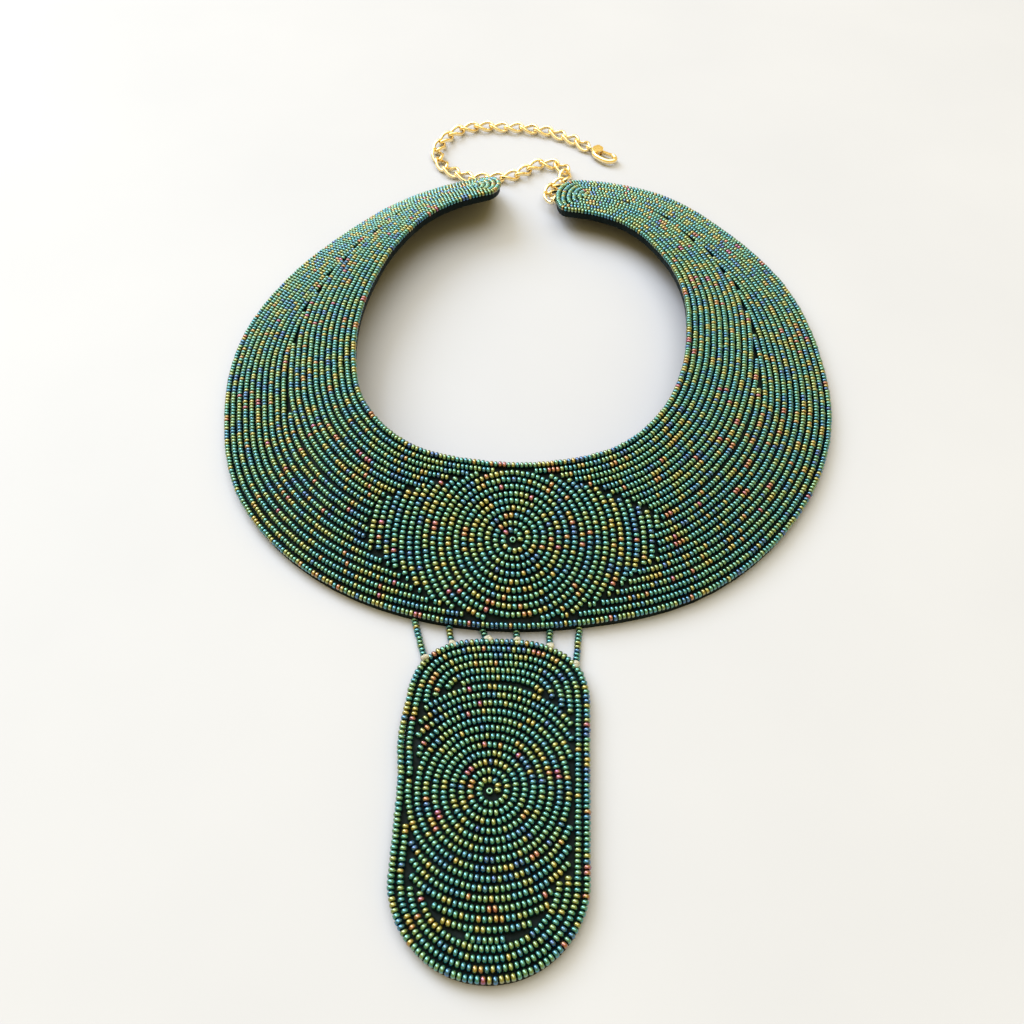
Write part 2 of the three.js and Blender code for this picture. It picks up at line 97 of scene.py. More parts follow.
# Rows of the collar: closed rows run round both tips, open ones along one edge. Where the width has room
# to spare, the rows spread by a share of it, eased over some steps. Round a tip a row is half an oval,
# as long as the tip leaves room for: a full step in for each row at first, and then a smaller one.
NECK_ROW_PITCH = 2.5
RIM_ROW_PITCH = 2.62
EDGE_ROW = 0.6
CLOSED_ROWS = 6
COLLAR_ROWS = 13
ROW_STEPS = 900
ROW_SPREAD = 0.8
EASE_STEPS = 20
TIP_TURN = 3.0
TIP_STEPS = 40
TIP_REACH = 8.0
TIP_LEAST, TIP_EASE, TIP_DEPTH = 1.2, 0.35, 14.0

# Spirals: radius of the first bead, turn that they start at, steps, and place of the bead in the middle
SPIRAL_START = 2.1
SPIRAL_TURN = 0.15
SPIRAL_STEPS = 12000
SPIRAL_MIDDLE = (-0.25, -0.55)

# Front medallion: a spiral of beads between an upper arch and a keel, which stays clear of the collar's
# edges. The rows that meet it end a little inside the seam, and are tested from some way outside it.
MEDALLION_CENTRE = (0.4, -103.4)
MEDALLION_PITCH = 2.72
MEDALLION_HALF = 51.5
MEDALLION_REACH = 53.0
ARCH_TOP, ARCH_DROP, ARCH_POWER = -77.6, 13.6, 1.7
KEEL, KEEL_RISE = -133.0, 29.0
SPIRAL_INSET = 0.5
SPIRAL_EDGE = 2.1
SEAM_DEPTH = 2.5
SEAM_REACH = -4.0

# Tab: a disc of spiral beads, a little taller than wide, and rows that follow the outline round it.
# The disc leaves room for two rows outside it, but for one where it touches the left side, which bulges.
TAB_DISC_CENTRE = (-3.1, -191.8)
TAB_DISC_PITCH = 2.7
TAB_SPIRAL_REACH = 34.2
TAB_ARC_REACH = 43.0
TAB_ARC_LINE = -9.0
TAB_WHOLE_ROWS = 4
TAB_ROWS = 9
TAB_ROW_PITCH = 2.7
TAB_ROW_STEPS = 1201
TAB_SIDE = -20.0
TAB_BULGE = 1.5
BULGE_LINE, BULGE_SPREAD, BULGE_EASE = -175.0, 11.0, 8.0
DISC_TOUCH_LOW, DISC_TOUCH_HIGH = -12.0, 3.0
DISC_TALL_ABOVE, DISC_TALL_BELOW = 1.075, 1.057
ROWS_BESIDE_DISC, ROWS_ROUND_DISC = 0.9, 1.85

# Nylon knots: their size, how far they sit behind and above the string's end, and the second lump of each
KNOT_SIZE = (1.4, 1.15, 1.0)
KNOT_SHIFT = (0, 0.7, 2.5)
LUMP_SHIFT = (0.7, -0.8, 0.6)
LUMP_SHARE = 0.7
LUMP_CHANCE = 0.5
BALL_RINGS, BALL_SIDES = 9, 14
BALL_SWELL = 0.14

# Chain, and the rings in the tips that hold it
LINK_COUNT = 27
LINK_WIRE = 1.35
LINK_WIDTH = 6.6
LINK_LENGTH = 9.3
LINK_TWIST = 52.0
LINK_FACE = 1.7
LINK_SQUARENESS = 2.8
LINK_SIDES = 14
LOOP_RADIUS = 1.5
LOOP_WIRE = 1.16
LOOP_SIDES = 10
LOOP_HOLD = 1.2
LOOPED_LINK = 11
WIRE_RINGS = 36
CHAIN_START = (0.088 * COLLAR_REACH, 0.770 * COLLAR_REACH, 0.94 * LINK_WIDTH)
CROSSING = 0.9

UPWARD = (0.0, 0.0, 1.0)
rng = np.random.default_rng(7)


def unit(way):
    """The same way with a length of one: divided by the root of its squares' sum."""
    return way / np.linalg.norm(way, axis=-1, keepdims=True)


def section_value(column, turn):
    """Cubic through the section table's rows, its slopes taken from each row's neighbours."""
    turn = np.asarray(turn, float)
    start = np.clip(np.searchsorted(SECTIONS[:, 0], turn) - 1, 0, len(SECTIONS) - 2)
    before, end = np.maximum(start - 1, 0), start + 1
    after = np.minimum(start + 2, len(SECTIONS) - 1)
    at, value = SECTIONS[:, 0], SECTIONS[:, column]
    span = at[end] - at[start]
    share = (turn - at[start]) / span
    slope_start = (value[end] - value[before]) / (at[end] - at[before]) * span
    slope_end = (value[after] - value[start]) / (at[after] - at[start]) * span
    square, cube = share ** 2, share ** 3
    return (value[start] * (2 * cube - 3 * square + 1) + slope_start * (cube - 2 * square + share)
            + value[end] * (3 * square - 2 * cube) + slope_end * (cube - square))


def outer_edge(turn):
    """Radius of the collar's outer edge: the section's share times the collar's reach."""
    return section_value(1, turn) * COLLAR_REACH


def neck_edge(turn):
    """Radius of the collar's neck edge: the section's share times the neck's reach."""
    return section_value(2, turn) * NECK_REACH


def over_collar(turn, radius, height):
    """Place on the collar: round the neck by the turn, out by the radius, up by the leather's rise
    from the outer edge to the neck edge (a straight slope plus a shallow bow) and the height."""
    turn = np.clip(turn, FIRST_TURN, LAST_TURN)
    outer, inner = outer_edge(turn), neck_edge(turn)
    rise = (outer - radius) / (outer - inner)
    under = section_value(3, turn) * NECK_LIFT * (rise + COLLAR_BOW * rise * (1 - rise))
    angle = np.radians(turn)
    return np.stack([radius * np.sin(angle), -radius * np.cos(angle), under + height], axis=-1)


def collar_normal(turn, radius):
    """Upward way of the collar's surface: the cross product of its slopes along turn and radius."""
    step = 0.2
    along = over_collar(turn + step, radius, 0) - over_collar(turn - step, radius, 0)
    out = over_collar(turn, radius + step, 0) - over_collar(turn, radius - step, 0)
    return unit(np.cross(out, along))


# The rows are laid out in millimetres about the neck's centre, which is found from where the tab lies
TAB_TOP = -float(outer_edge(0.0)) - TAB_GAP
low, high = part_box("pendant_backing")
NECK = np.array([(low.x + high.x) * 500 - TAB_SHIFT, high.y * 1000 - TAB_TOP, 0.0])


# Camera at the photograph's angle
camera_data = bpy.data.cameras.new("view")
camera_data.lens = 37.44
camera_data.sensor_width = 36.0
camera = bpy.data.objects.new("view", camera_data)
bpy.context.scene.collection.objects.link(camera)
camera.location = (0.00587, -0.27835, 0.31626)
aim = Vector((-0.00369, -0.04022, 0.0)) - camera.location
camera.rotation_euler = aim.to_track_quat("-Z", "Y").to_euler()
bpy.context.scene.camera = camera


def put_mesh(name, points, quads, material, triangles=()):
    """A smooth mesh from places in millimetres round the neck's centre, its quads and its triangles."""
    mesh = bpy.data.meshes.new(name)
    places = (points.reshape(-1, 3) + NECK) * 0.001
    triangles = np.asarray(triangles, np.int32).reshape(-1, 3)
    corners = np.concatenate([quads.ravel(), triangles.ravel()]).astype(np.int32)
    starts = np.concatenate([np.arange(len(quads)) * 4, quads.size + np.arange(len(triangles)) * 3])
    mesh.vertices.add(len(places))
    mesh.vertices.foreach_set("co", places.astype(np.float32).ravel())
    mesh.loops.add(len(corners))
    mesh.loops.foreach_set("vertex_index", corners)
    mesh.polygons.add(len(starts))
    mesh.polygons.foreach_set("loop_start", starts.astype(np.int32))
    mesh.polygons.foreach_set("use_smooth", np.ones(len(starts), bool))
    mesh.update(calc_edges=True)
    mesh.materials.append(material)
    piece = bpy.data.objects.new(name, mesh)
    bpy.context.scene.collection.objects.link(piece)
    return piece


def grid_quads(copies, rings, sides):
    """Quads over closed tubes: each ring joins the next, and the last joins the first."""
    ring, side = np.meshgrid(np.arange(rings), np.arange(sides), indexing="ij")
    next_ring, next_side = (ring + 1) % rings, (side + 1) % sides
    quad = np.stack([ring * sides + side, ring * sides + next_side,
                     next_ring * sides + next_side, next_ring * sides + side], axis=-1).reshape(-1, 4)
    return (quad[None] + (np.arange(copies) * rings * sides)[:, None, None]).reshape(-1, 4)


# Outline of a seed bead cut through its hole: along the hole and out from it, as shares
BEAD_OUTLINE = np.array([
    (-0.98, 0.52), (-0.62, 0.90), (0.0, 1.0), (0.62, 0.90), (0.98, 0.52), (0.0, 0.30),
])
BEAD_SIDES = 8


def seed_beads(name, centres, ways, ups, tones, material, radius, pitch):
    """Seed beads in one mesh: the outline turned about the row's way at every centre,
    with a little chance in its size, its tilt and its place, and its tone as an attribute."""
    count = len(centres)
    ways = unit(ways + rng.normal(0, TILT_CHANCE, (count, 3)))
    sides = unit(np.cross(ups, ways))
    ups = np.cross(ways, sides)
    size = rng.normal(1, SIZE_CHANCE, (count, 1, 1, 1))
    length = BEAD_SHARE * pitch / 2 * rng.normal(1, LENGTH_CHANCE, (count, 1, 1, 1))
    centres = (centres + sides * rng.normal(0, SIDE_CHANCE, (count, 1))
               + ups * rng.normal(0, HEIGHT_CHANCE, (count, 1)))
    angle = 2 * np.pi * (np.arange(BEAD_SIDES) + 0.5) / BEAD_SIDES
    out = (sides[:, None, None, :] * np.cos(angle)[None, None, :, None]
           + ups[:, None, None, :] * np.sin(angle)[None, None, :, None])
    points = (centres[:, None, None, :]
              + ways[:, None, None, :] * BEAD_OUTLINE[None, :, None, None, 0] * length
              + out * BEAD_OUTLINE[None, :, None, None, 1] * radius * size)
    rings = len(BEAD_OUTLINE)
    piece = put_mesh(name, points, grid_quads(count, rings, BEAD_SIDES), material)
    tone = piece.data.attributes.new("tone", "FLOAT", "POINT")
    tone.data.foreach_set("value", np.repeat(tones, rings * BEAD_SIDES).astype(np.float32))
    return piece


def bead_tones(count):
    """A tone from 0 to 1 for each bead, mostly green and olive, with short runs of one tone."""
    chance = rng.random(count)
    tone = np.interp(chance, TONE_SHARES, TONES)
    run = rng.random(count) < RUN_SHARE
    return np.where(run, np.roll(tone, 1), tone)


def spaced(line, pitch):
    """Places at even steps near the pitch along a dense line, as fractions of its index."""
    length = np.concatenate([[0], np.cumsum(np.linalg.norm(np.diff(line, axis=0), axis=1))])
    count = max(int(round(length[-1] / pitch)), 1)
    wanted = (np.arange(count) + 0.5) * length[-1] / count
    return np.interp(wanted, length, np.arange(len(line)))


def beads_on_collar(turns, radii, pitch):
    """Centres, ways and upward ways of the beads along a line of turns and radii on the collar."""
    index = spaced(over_collar(turns, radii, BEAD_SEAT), pitch)
    steps = np.arange(len(turns))
    turn, radius = np.interp(index, steps, turns), np.interp(index, steps, radii)
    ahead = [np.interp(index + 0.5, steps, turns), np.interp(index + 0.5, steps, radii)]
    behind = [np.interp(index - 0.5, steps, turns), np.interp(index - 0.5, steps, radii)]
    way = unit(over_collar(*ahead, 0) - over_collar(*behind, 0))
    up = collar_normal(turn, radius)
    centre = over_collar(turn, radius, LEATHER) + up * (BEAD_SEAT - LEATHER)
    return turn, radius, centre, way, up


def medallion_room(x, y):
    """How far a place lies inside the medallion: below its upper arch, above its keel and within its
    half width, the least of the three. The arch falls and the keel rises by a power of the share of
    the half width."""
    aside = np.abs(x - MEDALLION_CENTRE[0])
    share = aside / MEDALLION_HALF
    upper = ARCH_TOP - ARCH_DROP * share ** ARCH_POWER
    lower = KEEL + KEEL_RISE * share ** 2
    return np.minimum(np.minimum(upper - y, y - lower), MEDALLION_HALF - aside)


def edge_lines(order, turns, dense, spread):
    """Radii of a row's two lines: in from the neck edge and from the outer edge by the edge row's place
    and then by the order's number of row pitches, widened by the spread at each turn."""
    widen = np.interp(turns, dense, spread)
    return (neck_edge(turns) + EDGE_ROW + order * NECK_ROW_PITCH * widen,
            outer_edge(turns) - EDGE_ROW - order * RIM_ROW_PITCH * widen)


def row_loop(order, dense, spread):
    """Turns and radii of the closed row that runs along the neck edge, round one tip,
    back along the outer edge and round the other tip, at its order's distance from the edges.
    Round a tip it is half an oval, which gets shorter from row to row."""
    inset = EDGE_ROW + order * NECK_ROW_PITCH
    reach = max(TIP_REACH - inset, TIP_LEAST + TIP_EASE * (TIP_DEPTH - inset))
    clear = (inset + reach) / math.radians(MIDDLE_RADIUS)
    turns = np.linspace(FIRST_TURN + clear, LAST_TURN - clear, ROW_STEPS)
    along_neck, along_rim = edge_lines(order, turns, dense, spread)
    bend = np.linspace(0, np.pi, TIP_STEPS)[1:-1]

    def round_tip(end, sign):
        middle, half = (along_neck[end] + along_rim[end]) / 2, (along_rim[end] - along_neck[end]) / 2
        return (turns[end] + sign * reach / math.radians(MIDDLE_RADIUS) * np.sin(bend),
                middle - sign * half * np.cos(bend))

    parts = [(turns, along_neck), round_tip(-1, 1), (turns[::-1], along_rim[::-1]), round_tip(0, -1),
             (turns[:1], along_neck[:1])]
    return [np.concatenate(column) for column in zip(*parts)]


def collar_rows():
    """All rows of the collar but the medallion: closed rows as deep as the tips are wide,
    then open rows along each edge that end where the collar grows too narrow for them.
    The rows spread a little where the width isn't a whole number of them."""
    rows = []
    dense = np.linspace(FIRST_TURN + TIP_TURN, LAST_TURN - TIP_TURN, ROW_STEPS)
    both = NECK_ROW_PITCH + RIM_ROW_PITCH
    width = outer_edge(dense) - neck_edge(dense) - 2 * EDGE_ROW + both / 2
    spare = (width % (both / 2)) / (width - both / 2)
    window = np.hanning(2 * EASE_STEPS + 1)
    eased = np.convolve(np.pad(spare, EASE_STEPS, mode="edge"), window / window.sum(), mode="valid")
    spread = 1 + ROW_SPREAD * eased
    for order in range(COLLAR_ROWS):
        if order < CLOSED_ROWS:
            rows.append((order, *beads_on_collar(*row_loop(order, dense, spread), BEAD_PITCH)))
            continue
        for edge, need in enumerate((order * both + NECK_ROW_PITCH, (order + 1) * both)):
            wide = dense[width >= need]
            if len(wide):
                turns = np.linspace(wide[0], wide[-1], ROW_STEPS)
                radii = edge_lines(order, turns, dense, spread)[edge]
                rows.append((order, *beads_on_collar(turns, radii, BEAD_PITCH)))
    return rows


def crowded(centres, ways, others, other_ways, half_length, radius):
    """True for the beads that would press into another row's. The room that a pair needs is the sum
    of both beads' half widths along the line between them, each bead an oval seen from above."""
    apart = others[None, :, :2] - centres[:, None, :2]
    gap = np.linalg.norm(apart, axis=-1)
    need = np.zeros_like(gap)
    for way in (ways[:, None, :2], other_ways[None, :, :2]):
        along = (apart * way).sum(axis=-1) / gap
        need += np.sqrt((half_length * along) ** 2 + radius ** 2 * np.maximum(1 - along ** 2, 0))
    return (gap < CROWDING * need).any(axis=1)


def spiral(pitch, reach):
    """Angles and radii of a spiral that grows by one row pitch for each full turn about its centre."""
    turns = np.linspace(SPIRAL_START / pitch, reach / pitch, SPIRAL_STEPS)
    return 2 * np.pi * (turns + SPIRAL_TURN), pitch * turns


def medallion():
    """Beads along a spiral on the collar, about the medallion's centre."""
    angle, radius = spiral(MEDALLION_PITCH, MEDALLION_REACH)
    x = MEDALLION_CENTRE[0] + radius * np.cos(angle)
    y = MEDALLION_CENTRE[1] + radius * np.sin(angle)
    return beads_on_collar(np.degrees(np.arctan2(x, -y)), np.hypot(x, y), SPIRAL_BEAD_PITCH)


def tab_room(x, y, margin):
    """Below 1 inside the tab's outline moved in by the margin: a squared oval crown and an oval foot
    with straight sides between them."""
    half = TAB_WIDTH / 2 - margin
    crown_line = TAB_TOP - TAB_CROWN
    foot_line = TAB_TOP - TAB_LENGTH + TAB_FOOT
    aside = np.abs(x - TAB_SHIFT) / half
    up = np.maximum(y - crown_line, 0) / (TAB_CROWN - margin)
    down = np.maximum(foot_line - y, 0) / (TAB_FOOT - margin)
    crown = (aside ** CROWN_SQUARENESS + up ** CROWN_SQUARENESS) ** (1 / CROWN_SQUARENESS)
    foot = (aside ** FOOT_SQUARENESS + down ** FOOT_SQUARENESS) ** (1 / FOOT_SQUARENESS)
    return np.where(y > crown_line, crown, np.where(y < foot_line, foot, aside))


def tab_row(margin):
    """The tab's outline moved in by the margin, as a dense closed line: the cosine and the sine of the
    angle, each raised to two divided by the oval's squareness, out from the same ovals as in tab_room."""
    angle = np.linspace(0, 2 * np.pi, TAB_ROW_STEPS)
    upper = np.sin(angle) > 0
    power = 2 / np.where(upper, CROWN_SQUARENESS, FOOT_SQUARENESS)
    aside = np.sign(np.cos(angle)) * np.abs(np.cos(angle)) ** power
    ahead = np.sign(np.sin(angle)) * np.abs(np.sin(angle)) ** power
    line = np.where(upper, TAB_TOP - TAB_CROWN, TAB_TOP - TAB_LENGTH + TAB_FOOT)
    reach = np.where(upper, TAB_CROWN, TAB_FOOT) - margin
    return np.stack([TAB_SHIFT + (TAB_WIDTH / 2 - margin) * aside, line + reach * ahead,
                     np.full_like(aside, BEAD_SEAT)], axis=-1)


def beads_on_line(line, pitch):
    """Centres and ways of beads along a dense line."""
    index = spaced(line, pitch)
    steps = np.arange(len(line))

    def pick(at):
        return np.stack([np.interp(at, steps, line[:, axis]) for axis in range(3)], axis=-1)

    return pick(index), unit(pick(index + 1) - pick(index - 1))


def fine_mottle():
    """Shader group: noise on the object's own coordinates, spread between two values, and its height."""
    group = bpy.data.node_groups.new("fine_mottle", "ShaderNodeTree")
    for name in ("Scale", "Low", "High"):
        group.interface.new_socket(name=name, in_out="INPUT", socket_type="NodeSocketFloat")
    for name in ("Value", "Height"):
        group.interface.new_socket(name=name, in_out="OUTPUT", socket_type="NodeSocketFloat")
    nodes, links = group.nodes, group.links
    inside, outside = nodes.new("NodeGroupInput"), nodes.new("NodeGroupOutput")
    where, noise = nodes.new("ShaderNodeTexCoord"), nodes.new("ShaderNodeTexNoise")
    spread = nodes.new("ShaderNodeMapRange")
    noise.inputs["Detail"].default_value = 3
    spread.inputs["From Min"].default_value = 0.3
    spread.inputs["From Max"].default_value = 0.7
    links.new(where.outputs["Object"], noise.inputs["Vector"])
    links.new(inside.outputs["Scale"], noise.inputs["Scale"])
    links.new(noise.outputs["Fac"], spread.inputs["Value"])
    links.new(inside.outputs["Low"], spread.inputs["To Min"])
    links.new(inside.outputs["High"], spread.inputs["To Max"])
    links.new(spread.outputs["Result"], outside.inputs["Value"])
    links.new(noise.outputs["Fac"], outside.inputs["Height"])
    return group


MOTTLE = fine_mottle()


def new_material(name, **fixed):
    """A material with its Principled shader, the shader's fixed values set on its sockets."""
    material = bpy.data.materials.new(name)
    material.use_nodes = True
    shader = material.node_tree.nodes["Principled BSDF"]
    for socket, value in fixed.items():
        shader.inputs[socket.replace("_", " ")].default_value = value
    return material, material.node_tree.nodes, material.node_tree.links, shader


def mottle(nodes, scale, low, high):
    """The mottle's group in a material, with noise of this scale spread between low and high."""
    node = nodes.new("ShaderNodeGroup")
    node.node_tree = MOTTLE
    for name, value in (("Scale", scale), ("Low", low), ("High", high)):
        node.inputs[name].default_value = value
    return node


def colour_by(value, stops, nodes, links, shader):
    """The shader's colour: picked by the value on a straight ramp between the stops."""
    node = nodes.new("ShaderNodeValToRGB")
    elements = node.color_ramp.elements
    while len(elements) < len(stops):
        elements.new(0.5)
    for element, (place, colour) in zip(elements, stops):
        element.position = place
        element.color = (*colour, 1)
    links.new(value, node.inputs["Fac"])
    links.new(node.outputs["Color"], shader.inputs["Base Color"])


def gloss_by(value, links, shader):
    """The shader's roughness, taken from the value."""
    links.new(value, shader.inputs["Roughness"])


def bead_finish():
    """Iris glaze: the bead's tone, moved a little over its skin by noise, picks a colour of the glaze."""
    material, nodes, links, shader = new_material(
        "iris_glaze", Metallic=0.92, Coat_Weight=1.0, Coat_Roughness=0.16, Coat_IOR=2.0)
    tone = nodes.new("ShaderNodeAttribute")
    tone.attribute_name = "tone"
    shift = mottle(nodes, scale=700, low=-0.07, high=0.07)
    moved = nodes.new("ShaderNodeMath")
    moved.operation = "ADD"
    moved.use_clamp = True
    links.new(tone.outputs["Fac"], moved.inputs[0])
    links.new(shift.outputs["Value"], moved.inputs[1])
    colour_by(moved.outputs["Value"], [
        (0.0, (0.003, 0.075, 0.310)), (0.16, (0.003, 0.155, 0.350)), (0.32, (0.014, 0.245, 0.315)),
        (0.48, (0.060, 0.280, 0.235)), (0.64, (0.165, 0.300, 0.140)), (0.80, (0.330, 0.295, 0.070)),
        (0.91, (0.350, 0.135, 0.085)), (1.0, (0.270, 0.055, 0.200)),
    ], nodes, links, shader)
    gloss_by(mottle(nodes, scale=1500, low=0.24, high=0.36).outputs["Value"], links, shader)
    return material


def leather_finish():
    """Dark leather: pebbled grain from cells a millimetre wide, with a paler bloom in patches."""
    material, nodes, links, shader = new_material("slate_leather", Specular_IOR_Level=0.15)
    where = nodes.new("ShaderNodeTexCoord")
    cells = nodes.new("ShaderNodeTexVoronoi")
    cells.inputs["Scale"].default_value = 1100
    links.new(where.outputs["Object"], cells.inputs["Vector"])
    colour_by(mottle(nodes, scale=120, low=0.0, high=1.0).outputs["Value"], [
        (0.0, (0.003, 0.009, 0.011)), (0.6, (0.006, 0.014, 0.017)), (1.0, (0.014, 0.024, 0.030)),
    ], nodes, links, shader)
    gloss_by(mottle(nodes, scale=600, low=0.5, high=0.72).outputs["Value"], links, shader)
    bump = nodes.new("ShaderNodeBump")
    bump.inputs["Strength"].default_value = 0.35
    bump.inputs["Distance"].default_value = 0.0003
    links.new(cells.outputs["Distance"], bump.inputs["Height"])
    links.new(bump.outputs["Normal"], shader.inputs["Normal"])
    return material


def gold_finish():
    """Polished gold plate with faint rubbing marks in its gloss."""
    material, nodes, links, shader = new_material("gold_plate", Metallic=1.0)
    colour_by(mottle(nodes, scale=260, low=0.0, high=1.0).outputs["Value"],
              [(0.0, (0.93, 0.74, 0.40)), (1.0, (1.0, 0.86, 0.56))], nodes, links, shader)
    gloss_by(mottle(nodes, scale=900, low=0.20, high=0.34).outputs["Value"], links, shader)
    return material


def nylon_finish():
    """Clear nylon thread, drawn into knots: pale and half see-through, with a fine haze."""
    material, nodes, links, shader = new_material("nylon_thread", Transmission_Weight=0.45, IOR=1.5)
    colour_by(mottle(nodes, scale=1400, low=0.0, high=1.0).outputs["Value"],
              [(0.0, (0.62, 0.62, 0.55)), (1.0, (0.88, 0.88, 0.82))], nodes, links, shader)
    gloss_by(mottle(nodes, scale=2200, low=0.18, high=0.4).outputs["Value"], links, shader)
    return material


def table_finish():
    """Smooth pale paint with faint broad clouds."""
    material, nodes, links, shader = new_material("pale_table", Roughness=0.6)
    colour_by(mottle(nodes, scale=9, low=0.0, high=1.0).outputs["Value"],
              [(0.0, (0.505, 0.535, 0.65)), (1.0, (0.525, 0.555, 0.67))], nodes, links, shader)
    return material


BEADS, LEATHER_SKIN, GOLD = bead_finish(), leather_finish(), gold_finish()
for node_name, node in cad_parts.items():
    if node_name.endswith("_backing"):
        node.material_slots[0].material = LEATHER_SKIN
    elif node_name.startswith(("chain_link", "clasp")):
        node.material_slots[0].material = GOLD


def place_beads(name, nodes, centres, ways, ups, radius, pitch):
    """One piece of seed beads that rides on the necklace and is shown for the smooth solids named."""
    piece = seed_beads(name, centres, ways, ups, bead_tones(len(centres)), BEADS, radius, pitch)
    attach(piece, "necklace")
    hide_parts(*nodes)


def collar_beads():
    """The collar's rows, kept where they lie outside the medallion or don't press into its spiral, and
    sorted into the two sides and the two edges that they follow. Then the spiral with its middle bead."""
    turn, radius, centre, way, up = medallion()
    room = medallion_room(centre[:, 0], centre[:, 1])
    edges = np.minimum(radius - neck_edge(turn), outer_edge(turn) - radius)
    keep = (room > SPIRAL_INSET) & (edges > EDGE_ROW + SPIRAL_EDGE)
    whorl = [column[keep] for column in (centre, way, up)]
    sorted_rows = {}
    for order, turn, radius, centre, way, up in collar_rows():
        neckward = radius < (neck_edge(turn) + outer_edge(turn)) / 2
        room = medallion_room(centre[:, 0], centre[:, 1])
        keep = (room < SEAM_DEPTH) | (order == 0)
        near = np.flatnonzero((room > SEAM_REACH) & (order > 0))
        keep[near] &= ~crowded(centre[near], way[near], whorl[0], whorl[1], BEAD_PITCH / 2, BEAD_RADIUS)
        for side, on_side in (("left", centre[:, 0] < 0), ("right", centre[:, 0] >= 0)):
            for edge, on_edge in (("neck", neckward), ("rim", ~neckward)):
                pick = keep & on_side & on_edge
                parts = sorted_rows.setdefault(f"collar_beads_{side}_{edge}", [])
                parts.append((centre[pick], way[pick], up[pick]))
    for name, parts in sorted_rows.items():
        place_beads(name, ["collar_beadwork"], *(np.concatenate(column) for column in zip(*parts)),
                    BEAD_RADIUS, BEAD_PITCH)
    x, y = np.add(MEDALLION_CENTRE, SPIRAL_MIDDLE)
    turn, radius = math.degrees(math.atan2(x, -y)), math.hypot(x, y)
    middle = (over_collar(turn, radius, BEAD_SEAT), collar_normal(turn, radius), np.array([1.0, 0, 0]))
    whorl = [np.concatenate([column, extra[None]]) for column, extra in zip(whorl, middle)]
    place_beads("collar_beads_medallion", ["collar_beadwork"], *whorl, SPIRAL_BEAD_RADIUS, SPIRAL_BEAD_PITCH)


def beside_disc(centre):
    """True where the disc comes out to the tab's outermost row, on the left."""
    ahead = centre[:, 1] - TAB_DISC_CENTRE[1]
    return (centre[:, 0] < TAB_SIDE) & (ahead > DISC_TOUCH_LOW) & (ahead < DISC_TOUCH_HIGH)


def disc_height(ahead):
    """How many times taller than wide the tab's disc is, above its centre and below it."""
    return np.where(ahead > 0, DISC_TALL_ABOVE, DISC_TALL_BELOW)


def tab_beads():
    """The disc's spiral with a bead on its end in the middle, the rows that follow the outline, the
    spiral's further arcs below the disc, and the inner rows where there is room left. The left side
    swells a little where the disc touches it, by a bell curve along the tab."""
    angle, reach = spiral(TAB_DISC_PITCH, TAB_ARC_REACH)
    across, ahead = np.cos(angle), np.sin(angle)
    line = np.stack([TAB_DISC_CENTRE[0] + reach * across,
                     TAB_DISC_CENTRE[1] + disc_height(ahead) * reach * ahead,
                     np.full_like(angle, BEAD_SEAT)], axis=-1)
    whorl, whorl_ways = beads_on_line(line, TAB_BEAD_PITCH)
    ahead = whorl[:, 1] - TAB_DISC_CENTRE[1]
    out = np.hypot(whorl[:, 0] - TAB_DISC_CENTRE[0], ahead / disc_height(ahead))
    rows_outside = np.where(beside_disc(whorl), ROWS_BESIDE_DISC, ROWS_ROUND_DISC)
    inside = tab_room(whorl[:, 0], whorl[:, 1], EDGE_ROW + rows_outside * TAB_ROW_PITCH) < 1
    disc = inside & (out < TAB_SPIRAL_REACH)
    arcs = inside & (out >= TAB_SPIRAL_REACH) & (ahead < TAB_ARC_LINE)
    rows = [beads_on_line(tab_row(EDGE_ROW + order * TAB_ROW_PITCH), TAB_BEAD_PITCH)
            for order in range(TAB_ROWS)]
    rows.insert(TAB_WHOLE_ROWS, (whorl[arcs], whorl_ways[arcs]))
    centres, ways = whorl[disc], whorl_ways[disc]
    for order, (centre, way) in enumerate(rows):
        pressed = crowded(centre, way, centres, ways, TAB_BEAD_PITCH / 2, TAB_BEAD_RADIUS)
        clear = ~pressed | (order == 0)
        centres, ways = np.concatenate([centres, centre[clear]]), np.concatenate([ways, way[clear]])
    middle = [*np.add(TAB_DISC_CENTRE, SPIRAL_MIDDLE), BEAD_SEAT]
    centres, ways = np.concatenate([[middle], centres]), np.concatenate([[UPWARD], ways])
    leftward = np.clip((TAB_SIDE - centres[:, 0]) / BULGE_EASE, 0, 1)
    centres[:, 0] -= TAB_BULGE * leftward * np.exp(-((centres[:, 1] - BULGE_LINE) / BULGE_SPREAD) ** 2)
    ups = np.tile(UPWARD, (len(centres), 1))
    ups[0] = (0.0, 1.0, 0.0)
    place_beads("pendant_beads", ["pendant_beadwork"], centres, ways, ups, TAB_BEAD_RADIUS, TAB_BEAD_PITCH)


# Six short strings: places at the collar's edge and the tab's crown as shares of the tab's half width
STRINGS = [(-1.05, -0.86), (-0.63, -0.57), (-0.24, -0.16), (0.16, 0.18), (0.55, 0.56), (0.90, 0.86)]
STRING_STEPS = 60


def string_ends(top, bottom):
    """The string's two ends: on the collar's outer edge, at the turn whose sine times the edge's radius
    is the place aside, and on the tab's crown, down from its top by the squared oval's fall."""
    aside = TAB_SHIFT + top * TAB_WIDTH / 2
    turn = 0.0
    for _ in range(8):
        turn = math.degrees(math.asin(aside / float(outer_edge(turn))))
    start = np.array([aside, -float(outer_edge(turn)) * math.cos(math.radians(turn)), LEATHER / 2])
    fall = 1 - (1 - abs(bottom) ** CROWN_SQUARENESS) ** (1 / CROWN_SQUARENESS)
    end = np.array([TAB_SHIFT + bottom * TAB_WIDTH / 2, TAB_TOP - TAB_CROWN * fall, LEATHER / 2])
    return start, end


